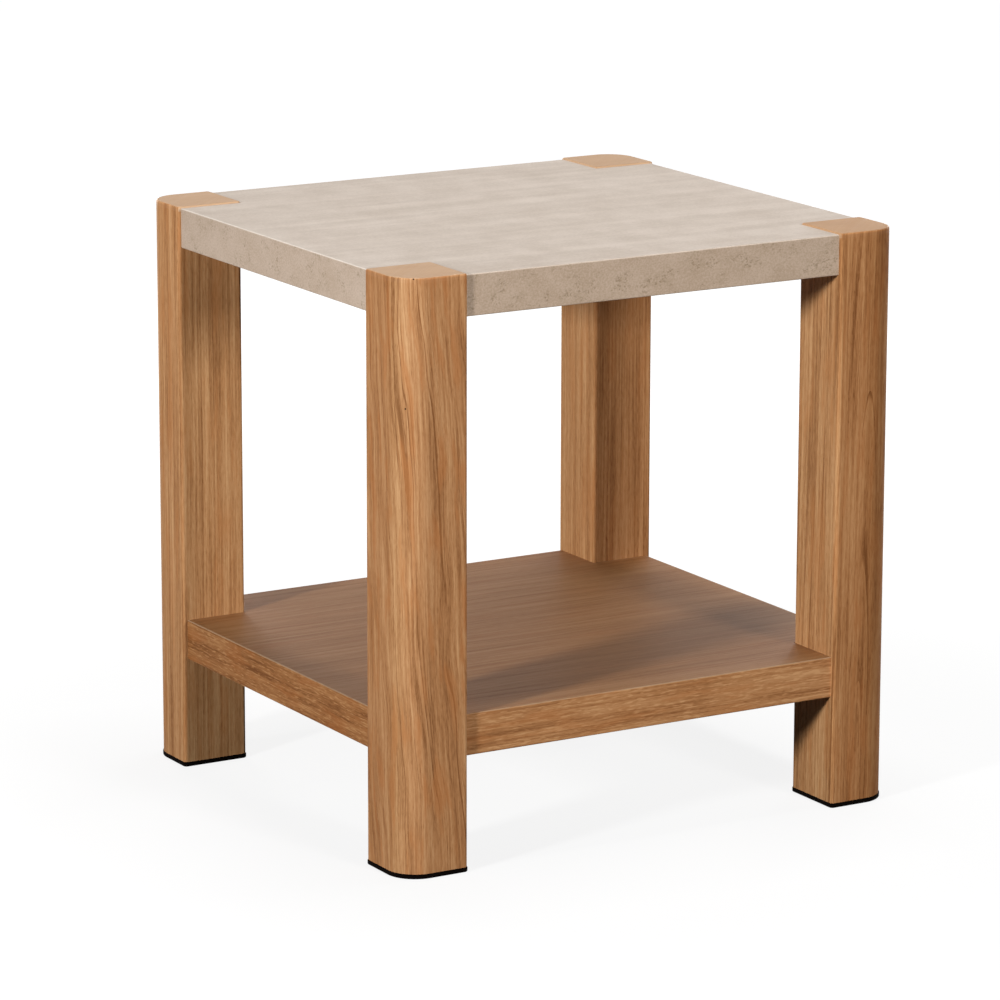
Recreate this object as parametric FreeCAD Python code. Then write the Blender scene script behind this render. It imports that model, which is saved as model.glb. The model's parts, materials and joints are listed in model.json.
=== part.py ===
# End table with a shelf: four hollow oak-veneered legs, a stone-look top and an oak shelf between them.
# Millimetres, +Z up, origin on the floor under the middle of the table, front towards -Y.
import FreeCAD, Part
import math
import os

# Overall size, over the outer faces of the legs
TABLE_WIDTH = 532.0
TABLE_DEPTH = 499.0
TABLE_HEIGHT = 551.5

# Legs: square hollow posts, with one large round on the corner that faces out of the table
LEG_WIDTH = 67.5
LEG_OUTER_RADIUS = 28.5
LEG_ARRIS_RADIUS = 3.5
LEG_WALL = 15.0
VENEER_THICKNESS = 0.6

# Closing pieces of a leg
CAP_PLATE_THICKNESS = 4.5
CAP_EDGE_RADIUS = 2.2
CAP_PLUG_DEPTH = 16.0
CAP_RISE = 1.5
FOOT_BLOCK_HEIGHT = 28.0
PLUG_CLEARANCE = 0.15

# Foot pads, a little larger than the leg above them
PAD_HEIGHT = 4.5
PAD_OVERHANG = 0.7
PAD_LOWER_RADIUS = 1.4
PAD_UPPER_RADIUS = 0.5

# Panels: two skins on a frame of rails and corner blocks, with a paper honeycomb inside
TOP_THICKNESS = 38.0
TOP_SETBACK = 3.0
SHELF_THICKNESS = 39.0
SHELF_SETBACK = 4.5
SHELF_HEIGHT = 147.0
SKIN_THICKNESS = 4.0
EDGE_BAND_THICKNESS = 1.5
EDGE_BAND_RADIUS = 1.2
RAIL_WIDTH = 30.0
CORNER_BLOCK_LENGTH = 60.0
NOTCH_CLEARANCE = 0.3
HONEYCOMB_CELL = 36.0
HONEYCOMB_WALL = 1.0

# Cam locks, their bolts and the threaded sleeves in the legs
CAM_DIAMETER = 15.0
CAM_LENGTH = 22.5
CAM_REACH = 34.0
CAM_AXIS_HEIGHT = 17.0
CAM_WALL = 1.6
CAM_INNER_ROOM = 0.4
CAM_RECESS_LENGTH = 9.0
CAM_RECESS_WIDTH = 1.6
CAM_RECESS_DEPTH = 3.0
BOLT_HEAD_DIAMETER = 7.0
BOLT_HEAD_LENGTH = 2.8
BOLT_HEAD_TO_CAM_AXIS = 1.0
BOLT_NECK_DIAMETER = 4.0
BOLT_SHANK_DIAMETER = 7.0
BOLT_THREAD_DIAMETER = 6.0
BOLT_THREAD_LENGTH = 10.0
SLEEVE_DIAMETER = 10.0
SLEEVE_LENGTH = 12.0

# Wooden dowels beside each cam bolt
DOWEL_DIAMETER = 8.0
DOWEL_LENGTH = 30.0
DOWEL_DEPTH_IN_LEG = 11.0
DOWEL_SPACING = 42.0
DOWEL_CHAMFER = 1.0

# Screws that hold the foot pads
SCREW_SPACING = 18.0
SCREW_LENGTH = 22.0
SCREW_DIAMETER = 3.5
SCREW_HEAD_DIAMETER = 7.0
SCREW_HEAD_HEIGHT = 2.2
SCREW_TIP_LENGTH = 4.0
SCREW_SINK = 0.8
SCREW_RECESS_LENGTH = 3.6
SCREW_RECESS_WIDTH = 0.9
SCREW_RECESS_DEPTH = 1.2

# Room left round a fastener, at its radius and at the end of its hole
FASTENER_CLEARANCE = 0.1
HOLE_END_CLEARANCE = 1.0

# Values that follow from the sizes above
HALF_WIDTH = TABLE_WIDTH / 2
HALF_DEPTH = TABLE_DEPTH / 2
LEG_BOTTOM = PAD_HEIGHT
LEG_TOP = TABLE_HEIGHT - CAP_PLATE_THICKNESS
TOP_HEIGHT = TABLE_HEIGHT - CAP_RISE
NOTCH_X = HALF_WIDTH - LEG_WIDTH
NOTCH_Y = HALF_DEPTH - LEG_WIDTH - NOTCH_CLEARANCE
LEG_CENTRE_X = HALF_WIDTH - LEG_WIDTH / 2
LEG_CENTRE_Y = HALF_DEPTH - LEG_WIDTH / 2
CAVITY_HALF = LEG_WIDTH / 2 - VENEER_THICKNESS - LEG_WALL
PANELS = {
    "tabletop": (TOP_HEIGHT, TOP_THICKNESS, TOP_SETBACK),
    "shelf": (SHELF_HEIGHT, SHELF_THICKNESS, SHELF_SETBACK),
}
CORNERS = {
    "front_left": (-1, -1),
    "front_right": (1, -1),
    "back_left": (-1, 1),
    "back_right": (1, 1),
}
TINY = 1e-6

nodes = {}


# Shape helpers

def vector(x, y, z):
    return FreeCAD.Vector(x, y, z)


def box(x_span, y_span, z_span):
    """A box between two limits on each axis, given in either order."""
    low = vector(min(x_span), min(y_span), min(z_span))
    size = [max(span) - min(span) for span in (x_span, y_span, z_span)]
    return Part.makeBox(*size, low)


def cylinder(radius, start, direction, length):
    return Part.makeCylinder(radius, length, start, direction)


def turned(profile, start, direction):
    """A round piece from (distance along the axis, radius) pairs, with its axis at start along direction."""
    points = [vector(profile[0][0], 0, 0)]
    points += [vector(along, radius, 0) for along, radius in profile]
    points += [vector(profile[-1][0], 0, 0), points[0]]
    face = Part.Face(Part.makePolygon(points))
    solid = face.revolve(vector(0, 0, 0), vector(1, 0, 0), 360)
    turn = FreeCAD.Rotation(vector(1, 0, 0), direction)
    solid.Placement = FreeCAD.Placement(start, turn)
    return solid


def rounded_outline(x_span, y_span, radii, z):
    """A closed rectangle outline at height z. radii maps a corner's (x, y) signs to its radius."""
    middle_x = sum(x_span) / 2
    middle_y = sum(y_span) / 2
    half_x = abs(x_span[1] - x_span[0]) / 2
    half_y = abs(y_span[1] - y_span[0]) / 2
    stops = []
    for sign_x, sign_y in ((-1, -1), (1, -1), (1, 1), (-1, 1)):
        radius = max(radii[(sign_x, sign_y)], 0.0)
        corner = vector(middle_x + sign_x * half_x, middle_y + sign_y * half_y, z)
        along_x = corner - vector(sign_x * radius, 0, 0)
        along_y = corner - vector(0, sign_y * radius, 0)
        diagonal = radius * (1 - math.sqrt(0.5))
        middle = corner - vector(sign_x * diagonal, sign_y * diagonal, 0)
        ends = (along_y, along_x) if sign_x == sign_y else (along_x, along_y)
        stops.append((ends[0], middle, ends[1], radius))
    edges = []
    for index, (begin, middle, end, radius) in enumerate(stops):
        if radius > TINY:
            edges.append(Part.Arc(begin, middle, end).toShape())
        following = stops[(index + 1) % len(stops)][0]
        edges.append(Part.LineSegment(end, following).toShape())
    return Part.Wire(edges)


def raised(wires, height):
    """A prism of that height over an outline, or over an outline with holes in it."""
    face = Part.makeFace(wires, "Part::FaceMakerBullseye")
    return face.extrude(vector(0, 0, height))


def edges_at_height(shape, z):
    """The edges of shape that lie flat at height z."""
    return [e for e in shape.Edges if all(abs(v.Point.z - z) < TINY for v in e.Vertexes)]


# Legs

def leg_section(corner, inset, z):
    """The outline of a leg at height z, drawn in by inset from its outer faces."""
    sign_x, sign_y = CORNERS[corner]
    radii = {key: LEG_ARRIS_RADIUS - inset for key in CORNERS.values()}
    radii[(sign_x, sign_y)] = LEG_OUTER_RADIUS - inset
    half = LEG_WIDTH / 2 - inset
    centre_x = sign_x * LEG_CENTRE_X
    centre_y = sign_y * LEG_CENTRE_Y
    x_span = (centre_x - half, centre_x + half)
    y_span = (centre_y - half, centre_y + half)
    return rounded_outline(x_span, y_span, radii, z)


def leg_cavity(corner, clearance, z_span):
    """The square hollow of a leg, or a plug that fits it with clearance."""
    sign_x, sign_y = CORNERS[corner]
    half = CAVITY_HALF - clearance
    centre_x = sign_x * LEG_CENTRE_X
    centre_y = sign_y * LEG_CENTRE_Y
    return box((centre_x - half, centre_x + half), (centre_y - half, centre_y + half), z_span)


def joint_height(panel):
    """The height of the dowels and the cam bolt where a panel meets the legs."""
    top, thickness, _ = PANELS[panel]
    return top - thickness + CAM_AXIS_HEIGHT


def dowel_places(corner, panel):
    """Where the dowels of one leg and one panel cross the face between them."""
    sign_x, sign_y = CORNERS[corner]
    z = joint_height(panel)
    offsets = (-DOWEL_SPACING / 2, DOWEL_SPACING / 2)
    return [vector(sign_x * NOTCH_X, sign_y * LEG_CENTRE_Y + offset, z) for offset in offsets]


def bolt_place(corner, panel):
    """Where the cam bolt of one leg and one panel crosses the face between them."""
    sign_x, sign_y = CORNERS[corner]
    return vector(sign_x * NOTCH_X, sign_y * LEG_CENTRE_Y, joint_height(panel))


def into_leg(corner):
    return vector(CORNERS[corner][0], 0, 0)


def leg_bores(corner):
    """The dowel and sleeve holes in a leg's inner face, as solids to cut away."""
    bores = []
    for panel in PANELS:
        for place in dowel_places(corner, panel):
            radius = DOWEL_DIAMETER / 2 + FASTENER_CLEARANCE
            depth = DOWEL_DEPTH_IN_LEG + HOLE_END_CLEARANCE
            bores.append(cylinder(radius, place, into_leg(corner), depth))
        radius = SLEEVE_DIAMETER / 2 + FASTENER_CLEARANCE
        bores.append(cylinder(radius, bolt_place(corner, panel), into_leg(corner), SLEEVE_LENGTH))
    return bores


def make_post(corner):
    """The hollow board post inside the veneer."""
    outline = leg_section(corner, VENEER_THICKNESS, LEG_BOTTOM)
    post = raised([outline], LEG_TOP - LEG_BOTTOM)
    return post.cut([leg_cavity(corner, 0.0, (LEG_BOTTOM, LEG_TOP))] + leg_bores(corner))


def make_veneer(corner):
    """The oak veneer wrapped round a post."""
    outer = leg_section(corner, 0.0, LEG_BOTTOM)
    inner = leg_section(corner, VENEER_THICKNESS, LEG_BOTTOM)
    return raised([outer, inner], LEG_TOP - LEG_BOTTOM).cut(leg_bores(corner))


def make_cap(corner):
    """The oak cap: a plate over the end of the leg, eased along its top edge, on a plug in the hollow."""
    plate = raised([leg_section(corner, 0.0, LEG_TOP)], CAP_PLATE_THICKNESS)
    plate = plate.makeFillet(CAP_EDGE_RADIUS, edges_at_height(plate, TABLE_HEIGHT))
    plug = leg_cavity(corner, PLUG_CLEARANCE, (LEG_TOP - CAP_PLUG_DEPTH, LEG_TOP))
    return plate.fuse(plug)


def screw_places(corner):
    """The centres of the pad screws' heads, on the floor side."""
    sign_x, sign_y = CORNERS[corner]
    offsets = (-SCREW_SPACING / 2, SCREW_SPACING / 2)
    return [vector(sign_x * LEG_CENTRE_X + offset, sign_y * LEG_CENTRE_Y, SCREW_SINK) for offset in offsets]


def screw_profile(clearance):
    """Half of a countersunk screw's section, from its head up, grown by clearance."""
    head = SCREW_HEAD_DIAMETER / 2 + clearance
    shank = SCREW_DIAMETER / 2 + clearance
    return [(0.0, head), (SCREW_HEAD_HEIGHT, shank), (SCREW_LENGTH - SCREW_TIP_LENGTH, shank)]


def make_foot_block(corner):
    """The wooden block that closes the bottom of a leg and takes the pad screws."""
    block = leg_cavity(corner, PLUG_CLEARANCE, (LEG_BOTTOM, LEG_BOTTOM + FOOT_BLOCK_HEIGHT))
    radius = SCREW_DIAMETER / 2 + FASTENER_CLEARANCE
    depth = SCREW_LENGTH + HOLE_END_CLEARANCE
    return block.cut([cylinder(radius, place, vector(0, 0, 1), depth) for place in screw_places(corner)])


def make_pad(corner):
    """The black pad under a leg, with its rim rounded and two sunk screw holes."""
    pad = raised([leg_section(corner, -PAD_OVERHANG, 0.0)], PAD_HEIGHT)
    pad = pad.makeFillet(PAD_LOWER_RADIUS, edges_at_height(pad, 0.0))
    pad = pad.makeFillet(PAD_UPPER_RADIUS, edges_at_height(pad, PAD_HEIGHT))
    holes = []
    for place in screw_places(corner):
        holes.append(turned(screw_profile(FASTENER_CLEARANCE), place, vector(0, 0, 1)))
        mouth = SCREW_HEAD_DIAMETER / 2 + FASTENER_CLEARANCE
        holes.append(cylinder(mouth, place, vector(0, 0, -1), SCREW_SINK))
    return pad.cut(holes)


for corner in CORNERS:
    nodes[f"leg_{corner}_post"] = make_post(corner)
    nodes[f"leg_{corner}_veneer"] = make_veneer(corner)
    nodes[f"leg_{corner}_cap"] = make_cap(corner)
    nodes[f"leg_{corner}_foot_block"] = make_foot_block(corner)
    nodes[f"foot_pad_{corner}"] = make_pad(corner)


# Panels

def cross_outline(half_x, half_y, inner_x, inner_y, z):
    """A rectangle with a notch at each corner, as a closed outline at height z."""
    quarter = [(half_x, inner_y), (inner_x, inner_y), (inner_x, half_y)]
    points = []
    for sign_x, sign_y in ((1, 1), (-1, 1), (-1, -1), (1, -1)):
        ordered = quarter if sign_x == sign_y else quarter[::-1]
        points += [vector(sign_x * x, sign_y * y, z) for x, y in ordered]
    return Part.makePolygon(points + points[:1])


def panel_core(panel):
    """The lowest and highest level of a panel's frame, between its skins."""
    top, thickness, _ = PANELS[panel]
    return top - thickness + SKIN_THICKNESS, top - SKIN_THICKNESS


def skin_half_size(panel):
    setback = PANELS[panel][2]
    return HALF_WIDTH - setback - EDGE_BAND_THICKNESS, HALF_DEPTH - setback - EDGE_BAND_THICKNESS


def cam_place(corner, panel):
    """The centre of a cam's lower end, in the underside of a panel."""
    top, thickness, _ = PANELS[panel]
    sign_x, sign_y = CORNERS[corner]
    return vector(sign_x * (NOTCH_X - CAM_REACH), sign_y * LEG_CENTRE_Y, top - thickness)


def cam_bore(corner, panel):
    radius = CAM_DIAMETER / 2 + FASTENER_CLEARANCE
    return cylinder(radius, cam_place(corner, panel), vector(0, 0, 1), CAM_LENGTH + HOLE_END_CLEARANCE)


def make_skin(panel, z):
    half_x, half_y = skin_half_size(panel)
    return raised([cross_outline(half_x, half_y, NOTCH_X, NOTCH_Y, z)], SKIN_THICKNESS)


def make_corner_block(panel, corner):
    """The block behind a notch, bored for the dowels, the cam bolt and the cam."""
    sign_x, sign_y = CORNERS[corner]
    half_y = skin_half_size(panel)[1]
    x_span = (sign_x * NOTCH_X, sign_x * (NOTCH_X - CORNER_BLOCK_LENGTH))
    block = box(x_span, (sign_y * NOTCH_Y, sign_y * half_y), panel_core(panel))
    inward = vector(-sign_x, 0, 0)
    bores = [cam_bore(corner, panel)]
    bolt_radius = max(BOLT_SHANK_DIAMETER, BOLT_HEAD_DIAMETER) / 2 + FASTENER_CLEARANCE
    bores.append(cylinder(bolt_radius, bolt_place(corner, panel), inward, CAM_REACH))
    for place in dowel_places(corner, panel):
        radius = DOWEL_DIAMETER / 2 + FASTENER_CLEARANCE
        depth = DOWEL_LENGTH - DOWEL_DEPTH_IN_LEG + HOLE_END_CLEARANCE
        bores.append(cylinder(radius, place, inward, depth))
    return block.cut(bores)


def make_long_rail(panel, sign_y):
    """The rail along the front or back edge, between two corner blocks."""
    half_y = skin_half_size(panel)[1]
    reach = NOTCH_X - CORNER_BLOCK_LENGTH
    y_span = (sign_y * half_y, sign_y * (half_y - RAIL_WIDTH))
    return box((-reach, reach), y_span, panel_core(panel))


def make_side_rail(panel, sign_x):
    """The rail along the left or right edge, which closes the notches at its ends."""
    half_x = skin_half_size(panel)[0]
    return box((sign_x * half_x, sign_x * NOTCH_X), (-NOTCH_Y, NOTCH_Y), panel_core(panel))


def make_edge_band(panel, side):
    """The facing strip on one edge of a panel, eased along its two outer edges."""
    top, thickness, setback = PANELS[panel]
    z_span = (top - thickness, top)
    if side in ("front", "back"):
        sign = -1 if side == "front" else 1
        outer = HALF_DEPTH - setback
        band = box((-NOTCH_X, NOTCH_X), (sign * outer, sign * (outer - EDGE_BAND_THICKNESS)), z_span)
        outermost = [e for e in band.Edges if all(abs(v.Y - sign * outer) < TINY for v in e.Vertexes)]
    else:
        sign = -1 if side == "left" else 1
        outer = HALF_WIDTH - setback
        band = box((sign * outer, sign * (outer - EDGE_BAND_THICKNESS)), (-NOTCH_Y, NOTCH_Y), z_span)
        outermost = [e for e in band.Edges if all(abs(v.X - sign * outer) < TINY for v in e.Vertexes)]
    level = [e for e in outermost if abs(e.Vertexes[0].Z - e.Vertexes[1].Z) < TINY]
    return band.makeFillet(EDGE_BAND_RADIUS, level)


def hexagon(x, y, z, across):
    """A closed hexagon with two flat sides along Y, of that size across its flats."""
    radius = across / math.sqrt(3)
    angles = [math.radians(30 + 60 * index) for index in range(7)]
    return Part.makePolygon([vector(x + radius * math.cos(a), y + radius * math.sin(a), z) for a in angles])


def make_honeycomb(panel):
    """The paper honeycomb that fills a panel's frame, with its whole cells left open."""
    low, high = panel_core(panel)
    half_y = skin_half_size(panel)[1] - RAIL_WIDTH
    inner_x = NOTCH_X - CORNER_BLOCK_LENGTH
    outline = cross_outline(NOTCH_X, half_y, inner_x, NOTCH_Y, low)
    pitch_x = HONEYCOMB_CELL + HONEYCOMB_WALL
    pitch_y = pitch_x * math.sqrt(3) / 2
    reach_x = HONEYCOMB_CELL / 2 + HONEYCOMB_WALL
    reach_y = HONEYCOMB_CELL / math.sqrt(3) + HONEYCOMB_WALL
    columns = int(NOTCH_X / pitch_x) + 1
    rows = int(half_y / pitch_y) + 1
    cells = []
    for row in range(-rows, rows + 1):
        for column in range(-columns, columns + 1):
            x = (column + (row % 2) / 2) * pitch_x
            y = row * pitch_y
            far_x = abs(x) + reach_x
            far_y = abs(y) + reach_y
            in_middle = far_x <= NOTCH_X and far_y <= NOTCH_Y
            in_arm = far_x <= inner_x and far_y <= half_y
            if in_middle or in_arm:
                cells.append(hexagon(x, y, low, HONEYCOMB_CELL))
    return raised([outline] + cells, high - low)


for panel, (top, thickness, _) in PANELS.items():
    nodes[f"{panel}_upper_skin"] = make_skin(panel, top - SKIN_THICKNESS)
    lower_skin = make_skin(panel, top - thickness)
    nodes[f"{panel}_lower_skin"] = lower_skin.cut([cam_bore(corner, panel) for corner in CORNERS])
    for corner in CORNERS:
        nodes[f"{panel}_corner_block_{corner}"] = make_corner_block(panel, corner)
    nodes[f"{panel}_rail_front"] = make_long_rail(panel, -1)
    nodes[f"{panel}_rail_back"] = make_long_rail(panel, 1)
    nodes[f"{panel}_rail_left"] = make_side_rail(panel, -1)
    nodes[f"{panel}_rail_right"] = make_side_rail(panel, 1)
    for side in ("front", "back", "left", "right"):
        nodes[f"{panel}_edge_{side}"] = make_edge_band(panel, side)
    nodes[f"{panel}_honeycomb"] = make_honeycomb(panel)


# Fasteners

def cross_recess(centre, length, width, depth):
    """A cross-shaped driver recess that goes up from centre, as a solid to cut away."""
    z_span = (centre.z, centre.z + depth)
    arms = []
    for half_x, half_y in ((length / 2, width / 2), (width / 2, length / 2)):
        x_span = (centre.x - half_x, centre.x + half_x)
        arms.append(box(x_span, (centre.y - half_y, centre.y + half_y), z_span))
    return arms[0].fuse(arms[1])


def make_cam(corner, panel):
    """A cam, locked: its mouth faces away from the leg and its slot holds the bolt's neck."""
    radius = CAM_DIAMETER / 2
    up = vector(0, 0, 1)
    body = cylinder(radius, vector(0, 0, 0), up, CAM_LENGTH)
    head_room = BOLT_HEAD_DIAMETER / 2 + CAM_INNER_ROOM
    neck_room = BOLT_NECK_DIAMETER / 2 + CAM_INNER_ROOM
    mouth_radius = BOLT_HEAD_DIAMETER / 2 + FASTENER_CLEARANCE
    axis = vector(0, 0, CAM_AXIS_HEIGHT)
    chamber = cylinder(radius - CAM_WALL, axis - vector(0, 0, head_room), up, 2 * head_room)
    mouth = cylinder(mouth_radius, axis, vector(-1, 0, 0), CAM_DIAMETER)
    slot_z = (CAM_AXIS_HEIGHT - neck_room, CAM_AXIS_HEIGHT + neck_room)
    slot = box((-CAM_DIAMETER, CAM_DIAMETER), (-neck_room, CAM_DIAMETER), slot_z)
    recess = cross_recess(vector(0, 0, 0), CAM_RECESS_LENGTH, CAM_RECESS_WIDTH, CAM_RECESS_DEPTH)
    cam = body.cut([chamber, mouth, slot, recess])
    turn = FreeCAD.Rotation(up, 0 if CORNERS[corner][0] > 0 else 180)
    cam.Placement = FreeCAD.Placement(cam_place(corner, panel), turn)
    return cam


def make_cam_bolt(corner, panel):
    """A cam bolt: thread in the leg's sleeve, shank in the panel, neck and head in the cam."""
    shank_end = CAM_REACH - CAM_DIAMETER / 2 - HOLE_END_CLEARANCE
    head_end = CAM_REACH - BOLT_HEAD_TO_CAM_AXIS
    head_start = head_end - BOLT_HEAD_LENGTH
    profile = [
        (-BOLT_THREAD_LENGTH, BOLT_THREAD_DIAMETER / 2),
        (0.0, BOLT_THREAD_DIAMETER / 2),
        (0.0, BOLT_SHANK_DIAMETER / 2),
        (shank_end, BOLT_SHANK_DIAMETER / 2),
        (shank_end, BOLT_NECK_DIAMETER / 2),
        (head_start, BOLT_NECK_DIAMETER / 2),
        (head_start, BOLT_HEAD_DIAMETER / 2),
        (head_end, BOLT_HEAD_DIAMETER / 2),
    ]
    return turned(profile, bolt_place(corner, panel), vector(-CORNERS[corner][0], 0, 0))


def make_sleeve(corner, panel):
    """The threaded sleeve that takes a cam bolt, flush with the leg's inner face."""
    place = bolt_place(corner, panel)
    sleeve = cylinder(SLEEVE_DIAMETER / 2, place, into_leg(corner), SLEEVE_LENGTH)
    bore = cylinder(BOLT_THREAD_DIAMETER / 2 + FASTENER_CLEARANCE, place, into_leg(corner), SLEEVE_LENGTH)
    return sleeve.cut(bore)


def make_dowels(corner, panel):
    """The chamfered wooden dowels of one leg and one panel."""
    radius = DOWEL_DIAMETER / 2
    start = -(DOWEL_LENGTH - DOWEL_DEPTH_IN_LEG)
    profile = [
        (start, radius - DOWEL_CHAMFER),
        (start + DOWEL_CHAMFER, radius),
        (DOWEL_DEPTH_IN_LEG - DOWEL_CHAMFER, radius),
        (DOWEL_DEPTH_IN_LEG, radius - DOWEL_CHAMFER),
    ]
    return [turned(profile, place, into_leg(corner)) for place in dowel_places(corner, panel)]


def make_pad_screws(corner):
    """The countersunk, pointed screws of one foot pad."""
    screws = []
    for place in screw_places(corner):
        screw = turned(screw_profile(0.0) + [(SCREW_LENGTH, 0.0)], place, vector(0, 0, 1))
        recess = cross_recess(place, SCREW_RECESS_LENGTH, SCREW_RECESS_WIDTH, SCREW_RECESS_DEPTH)
        screws.append(screw.cut(recess))
    return screws


joints = [(corner, panel) for panel in PANELS for corner in CORNERS]
nodes["cam_locks"] = Part.makeCompound([make_cam(*joint) for joint in joints])
nodes["cam_bolts"] = Part.makeCompound([make_cam_bolt(*joint) for joint in joints])
nodes["threaded_sleeves"] = Part.makeCompound([make_sleeve(*joint) for joint in joints])
nodes["wooden_dowels"] = Part.makeCompound([d for joint in joints for d in make_dowels(*joint)])
nodes["pad_screws"] = Part.makeCompound([s for corner in CORNERS for s in make_pad_screws(corner)])


# One STEP file for each node

os.makedirs("parts", exist_ok=True)
for name, shape in nodes.items():
    shape.exportStep(os.path.join("parts", name + ".step"))
print(len(nodes), "nodes,", sum(len(shape.Solids) for shape in nodes.values()), "solids")
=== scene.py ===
import json
from math import cos, pi, radians, sin

import bpy
from mathutils import Matrix, Vector

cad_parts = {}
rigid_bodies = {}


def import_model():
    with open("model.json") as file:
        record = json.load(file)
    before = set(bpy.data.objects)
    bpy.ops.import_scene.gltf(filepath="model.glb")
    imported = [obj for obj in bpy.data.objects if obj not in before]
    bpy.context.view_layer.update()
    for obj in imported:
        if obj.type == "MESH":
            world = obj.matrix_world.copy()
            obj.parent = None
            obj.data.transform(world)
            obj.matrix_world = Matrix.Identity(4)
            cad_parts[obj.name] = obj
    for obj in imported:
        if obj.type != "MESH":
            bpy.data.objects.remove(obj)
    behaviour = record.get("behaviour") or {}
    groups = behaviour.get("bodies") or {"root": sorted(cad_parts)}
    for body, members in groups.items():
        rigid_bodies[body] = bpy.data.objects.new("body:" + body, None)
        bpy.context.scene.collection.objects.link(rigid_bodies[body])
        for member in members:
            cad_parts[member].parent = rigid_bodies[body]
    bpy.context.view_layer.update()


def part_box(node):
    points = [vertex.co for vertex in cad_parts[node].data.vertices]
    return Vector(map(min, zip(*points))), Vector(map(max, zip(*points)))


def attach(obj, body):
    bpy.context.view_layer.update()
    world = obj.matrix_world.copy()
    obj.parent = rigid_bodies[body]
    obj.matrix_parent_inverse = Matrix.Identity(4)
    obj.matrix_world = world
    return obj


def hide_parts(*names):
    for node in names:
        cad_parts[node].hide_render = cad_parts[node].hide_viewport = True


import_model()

nodes = bpy.data.objects


# The four legs are hollow fibreboard posts, each wrapped in one sheet of oak veneer.
# The sheet goes round the post's large outer round and its three small arrises, and is glued on.
# Its ends are trimmed and eased, under the cap at the top and above the pad at the foot.
class Field:
    """One socket of a finish's nodes: sums, products and powers of fields add the Math nodes for them."""

    def __init__(self, tree, socket=None):
        self.tree = tree
        self.socket = socket

    def node(self, kind, settings=None, sockets=None, output=0):
        """Any other node: its settings first, then the values or links of its sockets."""
        new = self.tree.nodes.new(kind)
        for key, value in (settings or {}).items():
            if key == "stops":
                ramp = new.color_ramp
                while len(ramp.elements) < len(value):
                    ramp.elements.new(0.5)
                for element, (place, colour) in zip(ramp.elements, value):
                    element.position = place
                    element.color = (*colour, 1.0)
            else:
                setattr(new, key, value)
        for key, value in (sockets or {}).items():
            if isinstance(value, Field):
                self.tree.links.new(value.socket, new.inputs[key])
            else:
                new.inputs[key].default_value = value
        return Field(self.tree, new.outputs[output] if new.outputs else None)

    def math(self, operation, *others):
        return self.node("ShaderNodeMath", {"operation": operation}, dict(enumerate((self, *others))))

    def __add__(self, other):
        return self.math("ADD", other)

    def __radd__(self, other):
        return self.math("ADD", other)

    def __sub__(self, other):
        return self.math("SUBTRACT", other)

    def __rsub__(self, other):
        return (self * -1).math("ADD", other)

    def __mul__(self, other):
        return self.math("MULTIPLY", other)

    def __rmul__(self, other):
        return self.math("MULTIPLY", other)

    def __truediv__(self, other):
        return self.math("DIVIDE", other)

    def __pow__(self, other):
        return self.math("POWER", other)

    def rise(self, low, high):
        """0 below low and 1 above high, with a soft step between them; low above high turns it round."""
        if low > high:
            return 1 - self.rise(high, low)
        return self.node("ShaderNodeMapRange", {"interpolation_type": "SMOOTHSTEP"},
                         {"Value": self, "From Min": low, "From Max": high})

    def blend(self, first, second):
        """The first colour where this field is 0 and the second where it is 1."""
        ends = {6: first, 7: second}
        for key, colour in ends.items():
            if not isinstance(colour, Field):
                ends[key] = (*colour, 1.0)
        return self.node("ShaderNodeMix", {"data_type": "RGBA"}, {0: self, **ends}, 2)

    def vector(self, operation, other, output=0):
        return self.node("ShaderNodeVectorMath", {"operation": operation}, {0: self, 1: other}, output)

    def axis(self, letter):
        return self.node("ShaderNodeSeparateXYZ", None, {"Vector": self}, letter)

    def noise(self, size, seed, detail=2.0, roughness=0.5):
        """Soft noise whose patches are about as large as the three sizes, in metres."""
        scale = tuple(1.0 / length for length in size)
        place = self.node("ShaderNodeMapping", None,
                          {"Vector": self, "Scale": scale, "Location": (seed, 1.7 * seed, -2.3 * seed)})
        return self.node("ShaderNodeTexNoise", None,
                         {"Vector": place, "Scale": 1.0, "Detail": detail, "Roughness": roughness})


def new_finish(name):
    """A material, the start of its fields and the Object coordinates in it."""
    material = bpy.data.materials.new(name)
    material.use_nodes = True
    material.node_tree.nodes.clear()
    start = Field(material.node_tree)
    return material, start, start.node("ShaderNodeTexCoord", None, None, "Object")


def close_finish(start, colour, roughness, specular, metallic, height, depth, strength):
    """The Principled shader and the output of a finish, with a bump from its height."""
    bump = start.node("ShaderNodeBump", None, {"Height": height, "Distance": depth, "Strength": strength})
    shader = start.node("ShaderNodeBsdfPrincipled", None, {
        "Base Color": colour,
        "Roughness": roughness,
        "Specular IOR Level": specular,
        "Metallic": metallic,
        "Normal": bump,
    })
    start.node("ShaderNodeOutputMaterial", None, {"Surface": shader})


OAK_LIGHT = (0.640, 0.350, 0.155)
OAK_MIDDLE = (0.465, 0.218, 0.083)
OAK_DARK = (0.250, 0.101, 0.033)
OAK_WARM = (0.480, 0.180, 0.053)
PIN_HOLE = (0.030, 0.014, 0.006)
PIN_CORE = 0.0005
PIN_RIM = 0.0011
TONE_SPAN = 0.16
FOOT_SHADE_MIDDLE = 0.28
GRAIN_DEPTH = 0.0002
VENEER_BUMP = 0.35
LEG_GLOSS = 0.04


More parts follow.
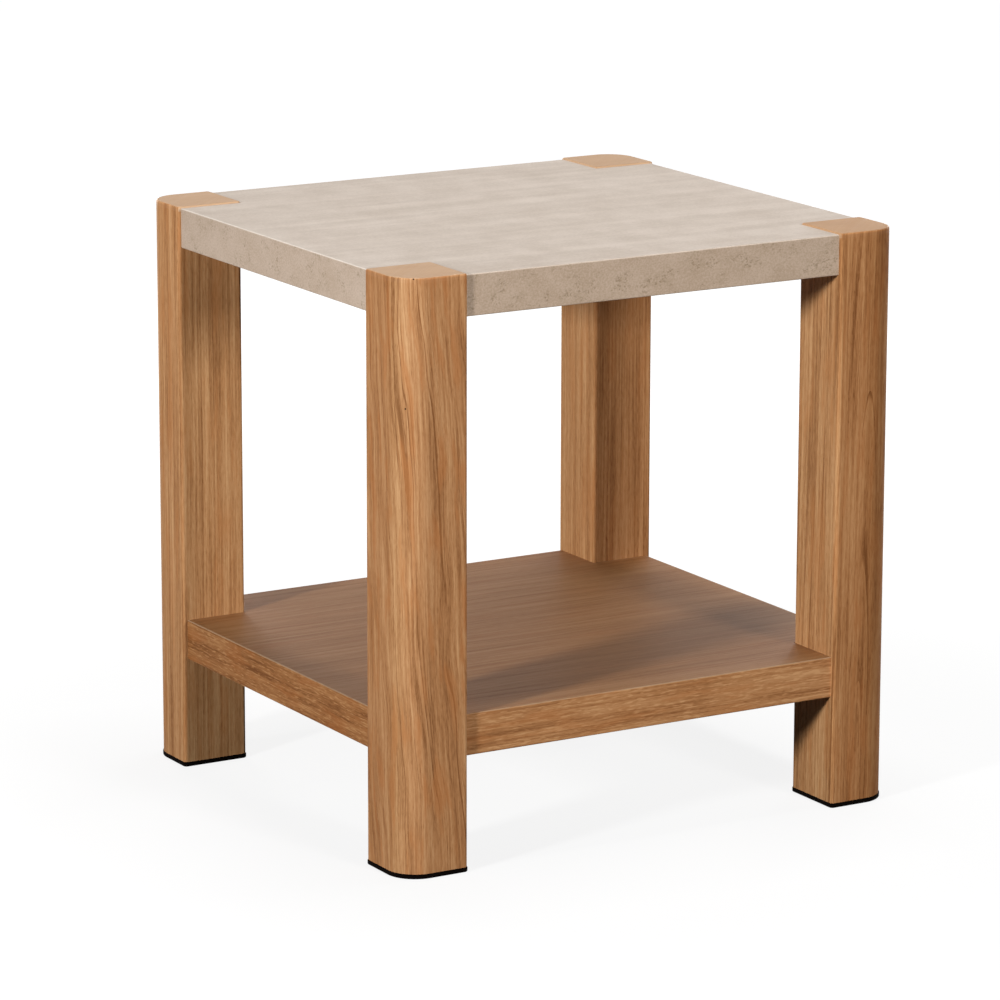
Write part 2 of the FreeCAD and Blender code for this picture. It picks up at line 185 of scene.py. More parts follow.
def oak_figure(place, grain, across, seed, heart=-0.5, lean=0.0, rise=0.0, deep=0.0, ring=0.006, wave=0.006,
               run=1.0, dark=0.6, mottle=0.5, contrast=1.0, glow=0.35, fleck=0.0, tint=(1.0, 1.0, 1.0),
               seam=0.0, tints_and_painted_light=(), painted_foot_shade=0.0, pins=()):
    """Colour, roughness and height of an oak sheet, whose grain runs along one axis.

    Growth lines bow round the heart by rise and deep, a ring apart, and lean, wave and run bend them.
    Dark, mottle, contrast, glow and fleck weigh the figure. Tint stops beside the seam tint it by face:
    partly the veneer's own tone, partly painted highlight and painted shade. A painted shade darkens it
    along the grain towards the foot.
    """
    along = place.axis(grain)
    side = place.vector("DOT_PRODUCT", across, "Value")
    flat = side.node("ShaderNodeCombineXYZ", None, {"X": side, "Z": along})
    sway = (flat.noise((0.05, 1.0, 0.16 * run), seed, 2.0) - 0.5) * (2 * wave) + along * lean
    bent = side.node("ShaderNodeCombineXYZ", None, {"X": side + sway, "Z": along})
    straight = side.node("ShaderNodeCombineXYZ", None, {"X": side + sway * 0.4, "Z": along})
    off = side + sway - heart
    depth = along * rise + deep
    rings = (off * off + depth * depth) ** 0.5 / ring
    uneven = rings.node("ShaderNodeTexNoise", {"noise_dimensions": "1D"}, {"W": rings * 0.4, "Detail": 1.0})
    rings = rings + uneven * 2.0
    phase = rings.math("FRACT")
    year = rings.node("ShaderNodeTexWhiteNoise", {"noise_dimensions": "1D"}, {"W": rings.math("FLOOR")})
    early = ((1 - phase) ** 3.0).math("MAXIMUM", phase.rise(0.86, 1.0))
    broken = bent.noise((0.02, 1.0, 0.11 * run), seed + 15, 1.0).rise(0.30, 0.62)
    lines = early * (year ** 1.6 * 0.9 + 0.1) * broken
    clouds = bent.noise((0.018, 1.0, 0.07 * run), seed + 5, 2.0) - 0.5
    bands = bent.noise((0.007, 1.0, 0.22 * run), seed + 7, 2.0) - 0.5
    fibres = straight.noise((0.0022, 1.0, 0.09 * run), seed + 9, 3.0, 0.6) - 0.5
    grit = straight.noise((0.0013, 1.0, 0.009), seed + 17, 2.0) - 0.5
    pores = straight.noise((0.0009, 1.0, 0.007), seed + 11, 1.0).rise(0.54, 0.70)
    warm = bent.noise((0.011, 1.0, 0.06 * run), seed + 13, 2.0).rise(0.5, 0.68)
    swing = clouds * mottle + bands * 1.1 + fibres * 1.3 + grit * 0.6
    if fleck:
        flecks = straight.noise((0.0016, 1.0, 0.011), seed + 19, 1.0).rise(0.54, 0.70)
        swing = swing + flecks * fleck - 0.2 * fleck
    tone = (swing - lines * dark - pores * (lines * 0.3 + 0.12)) * contrast + 0.60
    shades = ((0.0, OAK_DARK), (0.5, OAK_MIDDLE), (1.0, OAK_LIGHT))
    colour = tone.node("ShaderNodeValToRGB", {"stops": shades}, {"Fac": tone})
    colour = (warm * glow * contrast).blend(colour, OAK_WARM)
    # Tint stops across the seam: each face's own tone, together with painted highlight and painted shade.
    if tints_and_painted_light:
        stops = tuple((0.5 + offset / TONE_SPAN, shade) for offset, shade in tints_and_painted_light)
        tint = side.node("ShaderNodeValToRGB", {"stops": stops}, {"Fac": (side - seam) / TONE_SPAN + 0.5})
    # Painted shade: the colour is darker towards the foot and lighter towards the top.
    level = (along - FOOT_SHADE_MIDDLE) * painted_foot_shade + 1
    colour = colour.vector("MULTIPLY", tint)
    colour = colour.node("ShaderNodeVectorMath", {"operation": "SCALE"}, {0: colour, 3: level})
    for pin in pins:
        colour = place.vector("DISTANCE", pin, "Value").rise(PIN_RIM, PIN_CORE).blend(colour, PIN_HOLE)
    rough = 0.58 - tone * 0.1
    height = tone - pores * 0.4
    return colour, rough, height


def oak(name, grain, cut, gloss):
    material, start, place = new_finish(name)
    colour, rough, height = oak_figure(place, grain, **cut)
    close_finish(start, colour, rough, gloss, 0.0, height, GRAIN_DEPTH, VENEER_BUMP)
    return material


class Tree:
    """A Geometry Nodes tree with named inputs, made into a plain mesh."""

    def __init__(self, name, inputs):
        self.tree = bpy.data.node_groups.new(name, "GeometryNodeTree")
        self.tree.interface.new_socket("Geometry", in_out="OUTPUT", socket_type="NodeSocketGeometry")
        for label, kind in inputs:
            self.tree.interface.new_socket(label, in_out="INPUT", socket_type="NodeSocket" + kind)
        self.inputs = self.tree.nodes.new("NodeGroupInput").outputs

    def add(self, kind, settings=None, sockets=None):
        family = "" if kind.startswith(("Function", "Shader")) else "GeometryNode"
        new = self.tree.nodes.new(family + kind)
        for key, value in (settings or {}).items():
            setattr(new, key, value)
        for key, value in (sockets or {}).items():
            if isinstance(value, bpy.types.NodeSocket):
                self.tree.links.new(value, new.inputs[key])
            else:
                new.inputs[key].default_value = value
        return new.outputs

    def math(self, operation, first, second):
        return self.add("ShaderNodeMath", {"operation": operation}, {0: first, 1: second})[0]

    def end(self, geometry, material):
        """Realized, with its material, as the tree's result."""
        real = self.add("RealizeInstances", None, {"Geometry": geometry})[0]
        done = self.add("SetMaterial", None, {"Geometry": real, "Material": material})[0]
        result = self.tree.nodes.new("NodeGroupOutput")
        self.tree.links.new(done, result.inputs["Geometry"])

    def piece(self, name, values):
        """A plain mesh object from the tree with these values of its inputs."""
        seed = bpy.data.objects.new(name + "_source", bpy.data.meshes.new(name + "_source"))
        bpy.context.scene.collection.objects.link(seed)
        modifier = seed.modifiers.new("shape", "NODES")
        modifier.node_group = self.tree
        for item in self.tree.interface.items_tree:
            if item.in_out == "INPUT" and item.name in values:
                modifier[item.identifier] = values[item.name]
        even = seed.modifiers.new("even", "WEIGHTED_NORMAL")
        even.keep_sharp = True
        graph = bpy.context.evaluated_depsgraph_get()
        graph.update()
        mesh = bpy.data.meshes.new_from_object(seed.evaluated_get(graph), depsgraph=graph)
        seed.modifiers.clear()
        bpy.data.objects.remove(seed)
        mesh.name = name
        made = bpy.data.objects.new(name, mesh)
        bpy.context.scene.collection.objects.link(made)
        return made


OUTER_ROUND = 0.0285
ARRIS = 0.0035
SHEET = 0.0006
EASE = 0.0002
ROUND_STEPS = 28
ARRIS_STEPS = 6
EASE_STEPS = 3

wrap = Tree("veneer_wrap", [
    ("Width", "Float"), ("Outer Round", "Float"), ("Arris", "Float"), ("Sheet", "Float"), ("Ease", "Float"),
    ("Bottom", "Float"), ("Top", "Float"), ("Centre", "Vector"), ("Turn", "Rotation"),
    ("Material", "Material"),
])
square = wrap.add("CurvePrimitiveQuadrilateral", {"mode": "RECTANGLE"},
                  {"Width": wrap.inputs["Width"], "Height": wrap.inputs["Width"]})[0]
is_outer = wrap.add("FunctionNodeCompare", {"data_type": "INT", "operation": "EQUAL"},
                    {2: wrap.add("InputIndex")[0], 3: 0})[0]
corner = wrap.add("Switch", {"input_type": "FLOAT"},
                  {"Switch": is_outer, "False": wrap.inputs["Arris"], "True": wrap.inputs["Outer Round"]})[0]
steps = wrap.add("Switch", {"input_type": "INT"},
                 {"Switch": is_outer, "False": ARRIS_STEPS, "True": ROUND_STEPS})[0]
section = wrap.add("FilletCurve", {"mode": "POLY"},
                   {"Curve": square, "Count": steps, "Radius": corner, "Limit Radius": True})[0]
section = wrap.add("SetCurveNormal", {"mode": "Z_UP"}, {"Curve": section})[0]
height = wrap.math("SUBTRACT", wrap.inputs["Top"], wrap.inputs["Bottom"])
sheet = wrap.add("CurvePrimitiveQuadrilateral", {"mode": "RECTANGLE"},
                 {"Width": wrap.inputs["Sheet"], "Height": height})[0]
sheet = wrap.add("FilletCurve", {"mode": "POLY"},
                 {"Curve": sheet, "Count": EASE_STEPS, "Radius": wrap.inputs["Ease"],
                  "Limit Radius": True})[0]
middle = wrap.math("MULTIPLY", wrap.math("ADD", wrap.inputs["Top"], wrap.inputs["Bottom"]), -0.5)
inward = wrap.math("MULTIPLY", wrap.inputs["Sheet"], -0.5)
shift = wrap.add("ShaderNodeCombineXYZ", None, {"X": inward, "Y": middle})[0]
sheet = wrap.add("Transform", None, {"Geometry": sheet, "Translation": shift})[0]
walls = wrap.add("CurveToMesh", None, {"Curve": section, "Profile Curve": sheet})[0]
walls = wrap.add("SetShadeSmooth", None, {"Geometry": walls})[0]
placed = wrap.add("Transform", None, {"Geometry": walls, "Translation": wrap.inputs["Centre"],
                                      "Rotation": wrap.inputs["Turn"]})[0]
wrap.end(placed, wrap.inputs["Material"])

# The tint stops are partly each face's own veneer tone and partly painted light. The lighter, paler stops on
# the front-left leg's round and at the arrises of the front-right and back-left legs are painted highlight.
# The darker stops on the front faces of the front-right and back-right legs, darkest at the front-right
# leg's outer round, are painted shade. Each leg also darkens towards its foot, a painted shade.
LEG_ACROSS = (1.0, -1.0, 0.0)
LEGS = {
    "back_right": {"turn": 0, "cut": {
        "across": LEG_ACROSS, "seed": 31.0, "ring": 0.012, "wave": 0.005, "run": 2.2, "dark": 0.45,
        "seam": 0.0165, "tints_and_painted_light": ((-0.004, (0.95, 0.99, 1.05)), (0.004, (0.91, 0.89, 0.91))), "painted_foot_shade": 0.2}},
    "back_left": {"turn": 90, "cut": {
        "across": LEG_ACROSS, "seed": 22.0, "heart": -0.9, "ring": 0.0042, "wave": 0.003, "run": 1.5,
        "dark": 0.55, "mottle": 0.4, "seam": -0.448, "painted_foot_shade": 0.3,
        "tints_and_painted_light": ((-0.006, (0.99, 1.02, 1.10)), (0.000, (1.10, 1.15, 1.26)), (0.006, (0.99, 1.06, 1.15)))}},
    "front_left": {"turn": 180, "cut": {
        "across": LEG_ACROSS, "seed": 13.0, "lean": 0.09, "ring": 0.009, "wave": 0.014, "run": 1.0,
        "dark": 0.75, "glow": 0.5, "seam": -0.0165, "painted_foot_shade": 0.15,
        "pins": ((-0.2578, -0.2410, 0.434), (-0.2517, -0.2452, 0.5505)),
        "tints_and_painted_light": ((-0.060, (0.87, 0.87, 0.92)), (-0.024, (0.89, 0.90, 0.96)), (-0.014, (1.00, 1.09, 1.23)),
                  (0.010, (0.99, 1.03, 1.15)), (0.035, (1.02, 1.02, 1.08)))}},
    "front_right": {"turn": 270, "cut": {
        "across": LEG_ACROSS, "seed": 44.0, "heart": 0.4725, "lean": -0.03, "rise": 0.04, "deep": 0.002,
        "ring": 0.006, "wave": 0.004, "run": 1.6, "dark": 0.7, "mottle": 0.7, "seam": 0.448, "painted_foot_shade": 0.2,
        "tints_and_painted_light": ((-0.006, (1.00, 1.07, 1.17)), (0.000, (1.05, 1.08, 1.14)), (0.005, (0.93, 0.87, 0.85)),
                  (0.026, (0.93, 0.87, 0.85)), (0.037, (0.78, 0.70, 0.64)))}},
}
for corner_name, leg in LEGS.items():
    low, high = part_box(f"leg_{corner_name}_veneer")
    piece = wrap.piece(f"veneer_wrap_{corner_name}", {
        "Width": high.x - low.x,
        "Outer Round": OUTER_ROUND,
        "Arris": ARRIS,
        "Sheet": SHEET,
        "Ease": EASE,
        "Bottom": low.z,
        "Top": high.z,
        "Centre": ((low.x + high.x) / 2, (low.y + high.y) / 2, 0.0),
        "Turn": (0.0, 0.0, radians(leg["turn"])),
        "Material": oak(f"oak_leg_{corner_name}", "Z", leg["cut"], LEG_GLOSS),
    })
    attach(piece, "root")
    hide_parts(f"leg_{corner_name}_veneer")


# Each leg is closed by an oak cap, a plate with a softly rounded rim on a plug inside the post.
# It stands a little above the tabletop. Its outer rim carries on the wrap's figure.
# Its sanded top is plain, and so are its two inner sides, which face the tabletop.
CAP_FLAT = 0.0007
CAP_SIDE = 0.0016
CAP_RAGGED = 0.0008
CAP_FADE = 0.0006
CAP_DARK = (0.53, 0.335, 0.205)
CAP_LIGHT = (0.59, 0.385, 0.24)
CAP_TINT = (1.0, 0.99, 0.96)
RIGHT_CAP_TINT = (0.89, 0.81, 0.70)
CAP_GLOSS = 0.12
CAP_BUMP = 0.25


def cap_finish(name, cut, level, inner, tint):
    material, start, place = new_finish(name)
    colour, rough, height = oak_figure(place, "Z", **cut)
    ragged = place.noise((0.0025, 0.0025, 0.05), cut["seed"] + 4, 2.0) - 0.5
    top = (place.axis("Z") - level + CAP_FLAT + ragged * CAP_RAGGED).rise(0.0, CAP_FADE)
    beside_x = place.axis("X").math("ABSOLUTE").rise(inner.x + CAP_SIDE, inner.x + 0.5 * CAP_SIDE)
    beside_y = place.axis("Y").math("ABSOLUTE").rise(inner.y + CAP_SIDE, inner.y + 0.5 * CAP_SIDE)
    top = top.math("MAXIMUM", beside_x.math("MAXIMUM", beside_y))
    grain = place.noise((0.03, 0.0012, 0.03), cut["seed"], 3.0)
    cloud = place.noise((0.03, 0.02, 0.03), cut["seed"] + 2, 2.0)
    plain = (grain * 0.6 + cloud * 0.4).rise(0.3, 0.7).blend(CAP_DARK, CAP_LIGHT)
    plain = plain.vector("MULTIPLY", tint)
    close_finish(start, top.blend(colour, plain), rough, CAP_GLOSS, 0.0, height, GRAIN_DEPTH, CAP_BUMP)
    return material


for corner_name, leg in LEGS.items():
    cap_name = f"leg_{corner_name}_cap"
    low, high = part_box(cap_name)
    inner = Vector((min(abs(low.x), abs(high.x)), min(abs(low.y), abs(high.y))))
    cap_tint = RIGHT_CAP_TINT if corner_name == "front_right" else CAP_TINT
    cap_oak = cap_finish(f"oak_cap_{corner_name}", leg["cut"], high.z, inner, cap_tint)
    nodes[cap_name].data.materials[0] = cap_oak


# Under each leg is a moulded black pad, a little proud of the veneer, with a rounded rim.
# Two countersunk screws hold it to the wooden block in the foot of the post.
PAD_BLACK = (0.0028, 0.0018, 0.0014)
PAD_SCUFFED = (0.007, 0.0048, 0.0038)
PAD_GLOSS = 0.008


def pad_finish():
    material, start, place = new_finish("black_moulding")
    grain = place.noise((0.0006, 0.0006, 0.0006), 2.0, 2.0)
    scuff = place.noise((0.012, 0.012, 0.004), 5.0, 3.0).rise(0.55, 0.75)
    colour = (scuff * 0.5 + grain * 0.3).blend(PAD_BLACK, PAD_SCUFFED)
    close_finish(start, colour, 0.55 + grain * 0.2, PAD_GLOSS, 0.0, grain, 0.0001, 0.5)
    return material


def steel_finish(name, dark, light, rough):
    material, start, place = new_finish(name)
    swirl = place.noise((0.002, 0.002, 0.0006), 4.0, 3.0)
    stain = place.noise((0.009, 0.009, 0.009), 8.0, 2.0).rise(0.45, 0.7)
    colour = (swirl * 0.6 + stain * 0.4).blend(dark, light)
    close_finish(start, colour, rough + stain * 0.12, 0.5, 1.0, swirl, 0.00005, 0.4)
    return material


black_moulding = pad_finish()
steel = steel_finish("bright_steel", (0.38, 0.37, 0.35), (0.56, 0.55, 0.52), 0.28)
for corner_name in LEGS:
    nodes[f"foot_pad_{corner_name}"].data.materials[0] = black_moulding
nodes["pad_screws"].data.materials[0] = steel


# The shelf is a hollow panel with two oak-faced skins on a frame, notched round the legs.
# Oak bands close its edges, with the grain along each edge and a lighter line along the upper arris, partly
# sanded wear and partly painted highlight.
SHELF_CUT = {
    "across": (0.0, 1.0, 0.0), "seed": 51.0, "ring": 0.010, "wave": 0.008, "run": 1.6, "contrast": 0.55,
    "tint": (0.72, 0.71, 0.70),
}
FRONT_BAND_CUT = {
    "across": (0.0, 1.0, 1.0), "seed": 63.0, "ring": 0.004, "wave": 0.004, "run": 1.2, "fleck": 0.35,
    "tint": (1.00, 0.975, 1.00),
}
# The side bands are the same oak as the front bands; their darker tint is painted shade.
SIDE_BAND_CUT = {
    "across": (1.0, 0.0, 1.0), "seed": 74.0, "ring": 0.004, "wave": 0.004, "run": 0.8, "fleck": 0.5,
    "contrast": 1.2, "tint": (0.69, 0.62, 0.545),
}
ARRIS_WEAR_AND_HIGHLIGHT = (0.50, 0.335, 0.205)
ARRIS_LINE_FROM = 0.0010
ARRIS_LINE_TO = 0.0003
SHELF_GLOSS = 0.12
BAND_GLOSS = 0.06


def band_finish(name, grain, cut, level):
    material, start, place = new_finish(name)
    colour, rough, height = oak_figure(place, grain, **cut)
    # A lighter line along the upper arris: partly sanded wear, partly painted highlight.
    arris = place.axis("Z").rise(level - ARRIS_LINE_FROM, level - ARRIS_LINE_TO)
    wear_and_highlight = arris * (place.noise((0.02, 0.02, 0.02), cut["seed"] + 17, 2.0).rise(0.25, 0.5) * 0.5 + 0.3)
    colour = wear_and_highlight.blend(colour, ARRIS_WEAR_AND_HIGHLIGHT)
    close_finish(start, colour, rough, BAND_GLOSS, 0.0, height, GRAIN_DEPTH, VENEER_BUMP)
    return material


shelf_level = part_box("shelf_upper_skin")[1].z
shelf_faces = oak("oak_shelf_face", "X", SHELF_CUT, SHELF_GLOSS)
shelf_band_x = band_finish("oak_shelf_band_front", "X", FRONT_BAND_CUT, shelf_level)
shelf_band_y = band_finish("oak_shelf_band_side", "Y", SIDE_BAND_CUT, shelf_level)
for node_name in ("shelf_upper_skin", "shelf_lower_skin"):
    nodes[node_name].data.materials[0] = shelf_faces
for side_name in ("front", "back"):
    nodes[f"shelf_edge_{side_name}"].data.materials[0] = shelf_band_x
for side_name in ("left", "right"):
    nodes[f"shelf_edge_{side_name}"].data.materials[0] = shelf_band_y


# The tabletop is a hollow panel with a stone-look laminate on its faces and edges.
# The face has faint bands along the table; the edges are speckled, with dark pits in clusters and a lighter
# line along the top arris, mostly a painted highlight and partly the edge band's own light line.
FACE_DARK = (0.500, 0.405, 0.325)
FACE_LIGHT = (0.680, 0.580, 0.495)
EDGE_DARK = (0.47, 0.355, 0.255)
EDGE_LIGHT = (0.60, 0.475, 0.37)
EDGE_STAIN = (0.36, 0.275, 0.175)
EDGE_PIT = (0.27, 0.195, 0.115)
EDGE_HIGHLIGHT_LINE = (0.78, 0.70, 0.62)
EDGE_HIGHLIGHT_FROM = 0.0011
# The front and side edges are one laminate; the small difference between their tints is painted light and
# shade.
FRONT_EDGE_SHADING_TINT = (1.02, 0.98, 0.95)
SIDE_EDGE_SHADING_TINT = (0.98, 0.98, 1.005)
# The painted highlight along the top arris is stronger on the side edges than on the front.
FRONT_EDGE_HIGHLIGHT = 0.45
SIDE_EDGE_HIGHLIGHT = 0.85
STONE_GLOSS = 0.3


def stone_face():
    material, start, place = new_finish("stone_face")
    bands = place.noise((0.30, 0.022, 0.05), 3.0, 2.0, 0.55)
    streaks = place.noise((0.09, 0.008, 0.05), 6.0, 2.0, 0.5)
    patches = place.noise((0.035, 0.045, 0.02), 9.0, 3.0)
    grit = place.noise((0.0028, 0.0016, 0.002), 12.0, 2.0)
    tone = bands * 0.42 + streaks * 0.12 + patches * 0.38 + grit * 0.36 - 0.14
    colour = tone.rise(0.25, 0.75).blend(FACE_DARK, FACE_LIGHT)
    close_finish(start, colour, 0.42 + streaks * 0.12, STONE_GLOSS, 0.0, grit + streaks, 0.0001, 0.25)
    return material


def stone_edge(name, level, tint, highlight):
    material, start, place = new_finish(name)
    cloud = place.noise((0.03, 0.03, 0.02), 3.0, 3.0)
    speckle = place.noise((0.0018, 0.0018, 0.0015), 6.0, 2.0)
    clusters = place.noise((0.018, 0.018, 0.012), 9.0, 2.0).rise(0.46, 0.66)
    pits = place.noise((0.0024, 0.0024, 0.0018), 12.0, 2.0).rise(0.52, 0.66) * clusters
    stains = place.noise((0.007, 0.007, 0.005), 15.0, 3.0).rise(0.48, 0.70) * (clusters * 0.7 + 0.3)
    colour = (cloud * 0.35 + speckle * 0.65).rise(0.3, 0.7).blend(EDGE_DARK, EDGE_LIGHT)
    colour = (stains * 0.28).blend(colour, EDGE_STAIN)
    colour = (pits * 0.6).blend(colour, EDGE_PIT)
    # A lighter line along the top arris: mostly painted highlight, partly the edge band's own light line,
    # with its strength set per edge.
    arris = place.axis("Z").rise(level - EDGE_HIGHLIGHT_FROM, level - ARRIS_LINE_TO)
    colour = (arris * highlight).blend(colour.vector("MULTIPLY", tint), EDGE_HIGHLIGHT_LINE)
    close_finish(start, colour, 0.55 + speckle * 0.15, STONE_GLOSS, 0.0, speckle - pits * 1.5, 0.0003, 0.4)
    return material


face_laminate = stone_face()
top_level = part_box("tabletop_upper_skin")[1].z
front_laminate = stone_edge("stone_edge_front", top_level, FRONT_EDGE_SHADING_TINT, FRONT_EDGE_HIGHLIGHT)
side_laminate = stone_edge("stone_edge_side", top_level, SIDE_EDGE_SHADING_TINT, SIDE_EDGE_HIGHLIGHT)
for node_name in ("tabletop_upper_skin", "tabletop_lower_skin"):
    nodes[node_name].data.materials[0] = face_laminate
for side_name in ("front", "back"):
    nodes[f"tabletop_edge_{side_name}"].data.materials[0] = front_laminate
for side_name in ("left", "right"):
    nodes[f"tabletop_edge_{side_name}"].data.materials[0] = side_laminate


# Inside are the posts and rails of fibreboard, the blocks of softwood and the paper honeycomb.
# They are glued between the skins and in the feet, and show only where the table is cut open.
BOARD_DARK = (0.27, 0.16, 0.08)
BOARD_LIGHT = (0.36, 0.225, 0.125)
PAPER_LIGHT = (0.41, 0.26, 0.13)
PAPER_DARK = (0.33, 0.19, 0.09)
RAW_GLOSS = 0.3
PAPER_GLOSS = 0.2


def fibreboard_finish():
    material, start, place = new_finish("raw_fibreboard")
    fibres = place.noise((0.0012, 0.0012, 0.0012), 3.0, 3.0)
    cloud = place.noise((0.02, 0.02, 0.02), 5.0, 2.0)
    colour = (fibres * 0.6 + cloud * 0.4).rise(0.3, 0.7).blend(BOARD_DARK, BOARD_LIGHT)
    close_finish(start, colour, 0.75 + fibres * 0.15, RAW_GLOSS, 0.0, fibres, GRAIN_DEPTH, 0.4)
    return material


def block_finish(name, light, dark, size):
    material, start, place = new_finish(name)
    rings = place.noise(size, 4.0, 3.0)
    fibres = place.noise(tuple(0.2 * length for length in size), 8.0, 2.0)
    colour = (rings * 0.7 + fibres * 0.3).rise(0.35, 0.65).blend(light, dark)
    close_finish(start, colour, 0.6 + fibres * 0.15, RAW_GLOSS, 0.0, fibres, GRAIN_DEPTH, 0.4)
    return material


def paper_finish():
    material, start, place = new_finish("honeycomb_paper")
    fibres = place.noise((0.004, 0.004, 0.0015), 3.0, 3.0)
    flecks = place.noise((0.0015, 0.0015, 0.0015), 7.0, 2.0).rise(0.6, 0.75)
    colour = (fibres * 0.7 + flecks * 0.3).blend(PAPER_LIGHT, PAPER_DARK)
    close_finish(start, colour, 0.8 + fibres * 0.1, PAPER_GLOSS, 0.0, fibres, GRAIN_DEPTH, 0.3)
    return material


raw_fibreboard = fibreboard_finish()
block_wood = block_finish("pale_block_wood", (0.60, 0.41, 0.22), (0.46, 0.27, 0.12), (0.004, 0.004, 0.05))
honeycomb_paper = paper_finish()
for corner_name in LEGS:
    nodes[f"leg_{corner_name}_post"].data.materials[0] = raw_fibreboard
    nodes[f"leg_{corner_name}_foot_block"].data.materials[0] = block_wood
for panel in ("tabletop", "shelf"):
    for corner_name in LEGS:
        nodes[f"{panel}_corner_block_{corner_name}"].data.materials[0] = block_wood
    for side_name in ("front", "back", "left", "right"):
        nodes[f"{panel}_rail_{side_name}"].data.materials[0] = raw_fibreboard
    nodes[f"{panel}_honeycomb"].data.materials[0] = honeycomb_paper


# At each meeting of a leg and a panel, a cast zinc cam in the panel pulls on a steel bolt.
# The bolt is screwed into a brass sleeve in the leg, and the cam is reached from below.
# Two beech dowels beside it keep the panel from turning.
zinc = steel_finish("cast_zinc", (0.32, 0.325, 0.33), (0.46, 0.465, 0.47), 0.42)
brass = steel_finish("turned_brass", (0.50, 0.34, 0.11), (0.62, 0.44, 0.17), 0.3)
beech = block_finish("beech_dowel", (0.60, 0.39, 0.21), (0.47, 0.28, 0.14), (0.0015, 0.0015, 0.0015))
nodes["cam_locks"].data.materials[0] = zinc
nodes["cam_bolts"].data.materials[0] = steel
nodes["threaded_sleeves"].data.materials[0] = brass
nodes["wooden_dowels"].data.materials[0] = beech


# The studio has a pale floor, which keeps the table's soft shadow and otherwise reads white.
# Five soft lights stand round it: the key low on the left and the second one low in front.
# The others open the top, the back and the right side.
FLOOR_REACH = 14.0
FLOOR_DROP = 0.0002
SHADOW_GREY = (0.15, 0.15, 0.15, 1.0)
BOUNCE_GREY = (0.04, 0.04, 0.04, 1.0)
NEAR_WHITE = (0.86, 0.86, 0.86)
FAR_WHITE = (1.0, 1.0, 1.0)
SKY_FILL = 0.01


def sees_white(start):
    """1 for rays from the camera, a reflection or glass, which see a white studio, and 0 for the rest."""
    camera_ray = start.node("ShaderNodeLightPath", None, None, "Is Camera Ray")
    glossy_ray = start.node("ShaderNodeLightPath", None, None, "Is Glossy Ray")
    through_ray = start.node("ShaderNodeLightPath", None, None, "Is Transmission Ray")
    return (camera_ray + glossy_ray + through_ray).math("MINIMUM", 1.0)


def floor_finish():
    material, start, place = new_finish("pale_floor")
    away = place.vector("LENGTH", (0.0, 0.0, 0.0), "Value").rise(0.45, 1.4)
    matte = start.node("ShaderNodeBsdfDiffuse", None, {"Color": SHADOW_GREY})
    white = away.blend(NEAR_WHITE, FAR_WHITE)
    light = start.node("ShaderNodeEmission", None, {"Color": white, "Strength": 1.0})
    both = start.node("ShaderNodeAddShader", None, {0: matte, 1: light})
    dim = start.node("ShaderNodeBsdfDiffuse", None, {"Color": BOUNCE_GREY})
    shader = start.node("ShaderNodeMixShader", None, {0: sees_white(start), 1: dim, 2: both})
    start.node("ShaderNodeOutputMaterial", None, {"Surface": shader})
    return material


floor_mesh = bpy.data.meshes.new("studio_floor")
floor_corners = [
    (-FLOOR_REACH, -FLOOR_REACH, 0),
    (FLOOR_REACH, -FLOOR_REACH, 0),
    (FLOOR_REACH, FLOOR_REACH, 0),
    (-FLOOR_REACH, FLOOR_REACH, 0),
]
floor_mesh.from_pydata(floor_corners, [], [(0, 1, 2, 3)])
floor_mesh.materials.append(floor_finish())
floor = bpy.data.objects.new("studio_floor", floor_mesh)
floor.location.z = -FLOOR_DROP
bpy.context.scene.collection.objects.link(floor)

world = bpy.data.worlds.new("studio")
bpy.context.scene.world = world
world.use_nodes = True
world.node_tree.nodes.clear()
sky = Field(world.node_tree)
sky_level = sees_white(sky) * (1.0 - SKY_FILL) + SKY_FILL
backdrop = sky.node("ShaderNodeBackground", None, {"Color": (1.0, 1.0, 1.0, 1.0), "Strength": sky_level})
sky.node("ShaderNodeOutputWorld", None, {"Surface": backdrop})

LIGHT_TARGET = Vector((0.0, 0.0, 0.3))


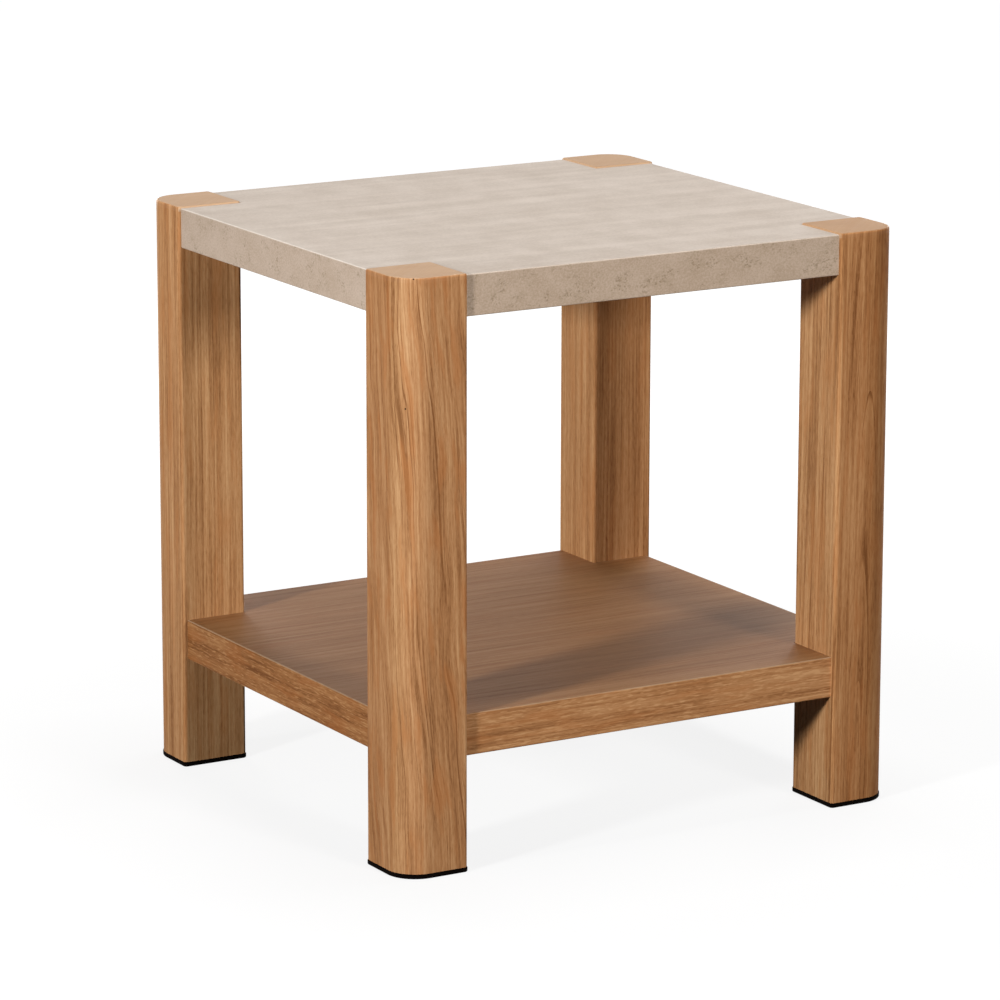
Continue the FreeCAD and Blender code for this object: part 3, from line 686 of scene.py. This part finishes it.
def softbox(name, azimuth, elevation, distance, level, width, tall):
    """A soft light that gives a facing surface this share of its own colour."""
    turn = radians(azimuth)
    rise = radians(elevation)
    towards = Vector((sin(turn) * cos(rise), -cos(turn) * cos(rise), sin(rise)))
    lamp = bpy.data.lights.new(name, "AREA")
    lamp.shape = "RECTANGLE"
    lamp.size = width
    lamp.size_y = tall
    lamp.energy = level * (pi * distance) ** 2
    holder = bpy.data.objects.new(name, lamp)
    holder.location = LIGHT_TARGET + towards * distance
    holder.rotation_euler = towards.to_track_quat("Z", "Y").to_euler()
    bpy.context.scene.collection.objects.link(holder)


softbox("key", -71.4, 14.2, 3.7, 0.85, 0.33, 0.34)
softbox("front_light", 8, 14.1, 4.7, 0.46, 0.67, 0.70)
softbox("overhead", 90, 84, 2.6, 0.55, 1.0, 1.0)
softbox("back_fill", 176, 6, 2.6, 0.42, 0.9, 0.5)
softbox("right_fill", 125, 8, 2.6, 0.28, 0.9, 0.5)


# The camera stands front left of the table and a little above its top.
# It is as far off as its long lens needs, and is rolled by a tenth of a degree.
CAMERA_PLACE = Vector((-2.40161, -4.04344, 1.37399))
CAMERA_TURN = radians(30.5125)
CAMERA_DIP = radians(13.1840)
CAMERA_ROLL = radians(0.1049)
LENS = 182.0
SENSOR = 36.0
FAR_CLIP = 60.0
forward = Vector((sin(CAMERA_TURN) * cos(CAMERA_DIP), cos(CAMERA_TURN) * cos(CAMERA_DIP), -sin(CAMERA_DIP)))
level_right = Vector((cos(CAMERA_TURN), -sin(CAMERA_TURN), 0.0))
level_up = level_right.cross(forward)
rolled_right = cos(CAMERA_ROLL) * level_right + sin(CAMERA_ROLL) * level_up
rolled_up = cos(CAMERA_ROLL) * level_up - sin(CAMERA_ROLL) * level_right
lens = bpy.data.cameras.new("camera")
lens.sensor_width = SENSOR
lens.lens = LENS
lens.clip_end = FAR_CLIP
camera = bpy.data.objects.new("camera", lens)
camera_axes = Matrix((rolled_right, rolled_up, -forward)).transposed().to_4x4()
camera.matrix_world = Matrix.Translation(CAMERA_PLACE) @ camera_axes
bpy.context.scene.collection.objects.link(camera)
bpy.context.scene.camera = camera
bpy.context.scene.view_settings.view_transform = "Standard"
